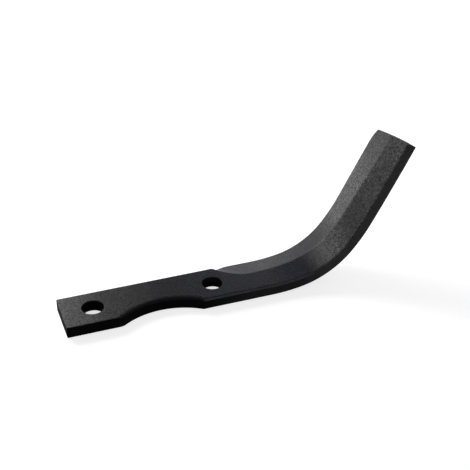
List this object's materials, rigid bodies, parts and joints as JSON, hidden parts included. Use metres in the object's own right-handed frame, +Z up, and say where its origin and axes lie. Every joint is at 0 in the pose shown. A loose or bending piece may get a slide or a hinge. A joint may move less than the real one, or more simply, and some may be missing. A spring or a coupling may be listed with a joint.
{
  "type": "rotary tiller blade",
  "caption": "Forged rotary tiller blade: flat shank with bolt holes and a hub scallop, rolled up to a blade with a wide cutting bevel.",
  "frame": {"origin": "midway between the two bolt holes, on the underside that seats on the rotor flange", "axes": "+X along the shank towards the blade, +Y towards the bevelled cutting edge, +Z up, the way the blade turns"},
  "size_m": [0.2202, 0.0381, 0.0882],
  "materials": {
    "black_paint": "satin black paint over shot-blasted forged spring steel"
  },
  "bodies": {
    "root": {"tiller_blade": "black_paint"}
  },
  "joints": []
}
